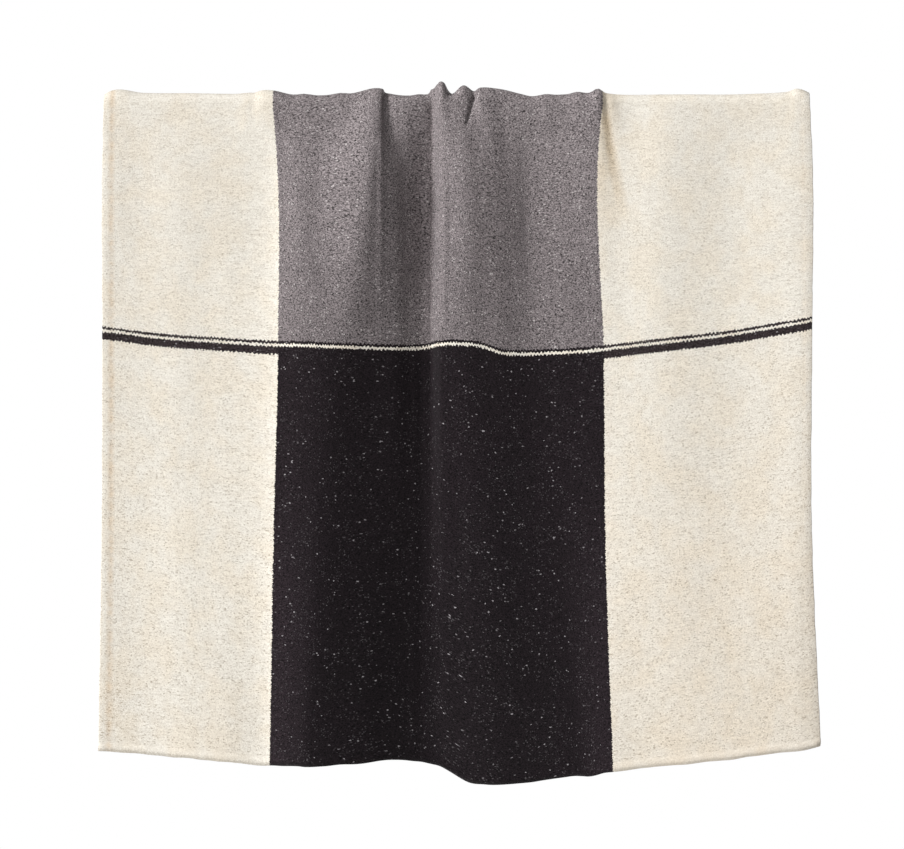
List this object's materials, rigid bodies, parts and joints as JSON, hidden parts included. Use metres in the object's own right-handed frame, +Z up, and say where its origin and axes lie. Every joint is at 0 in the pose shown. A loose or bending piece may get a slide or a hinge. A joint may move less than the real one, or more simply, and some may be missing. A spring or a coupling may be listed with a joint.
{
  "type": "throw blanket",
  "caption": "Heavy woven wool throw blanket hung over a rail: long front drop with soft gathered folds, shorter back drop, turned hems.",
  "frame": {"origin": "underside of the top fold at mid-width, on top of the rail that carries the throw", "axes": "+X along the rail, across the width of the throw, +Z up, and -Y towards the side that the long front drop faces"},
  "size_m": [1.2616, 0.11, 1.2262],
  "materials": {
    "wool_cloth": "matt brushed wool, cream at the sides, grey over black in the middle"
  },
  "bodies": {
    "root": {"throw": "wool_cloth"}
  },
  "joints": []
}
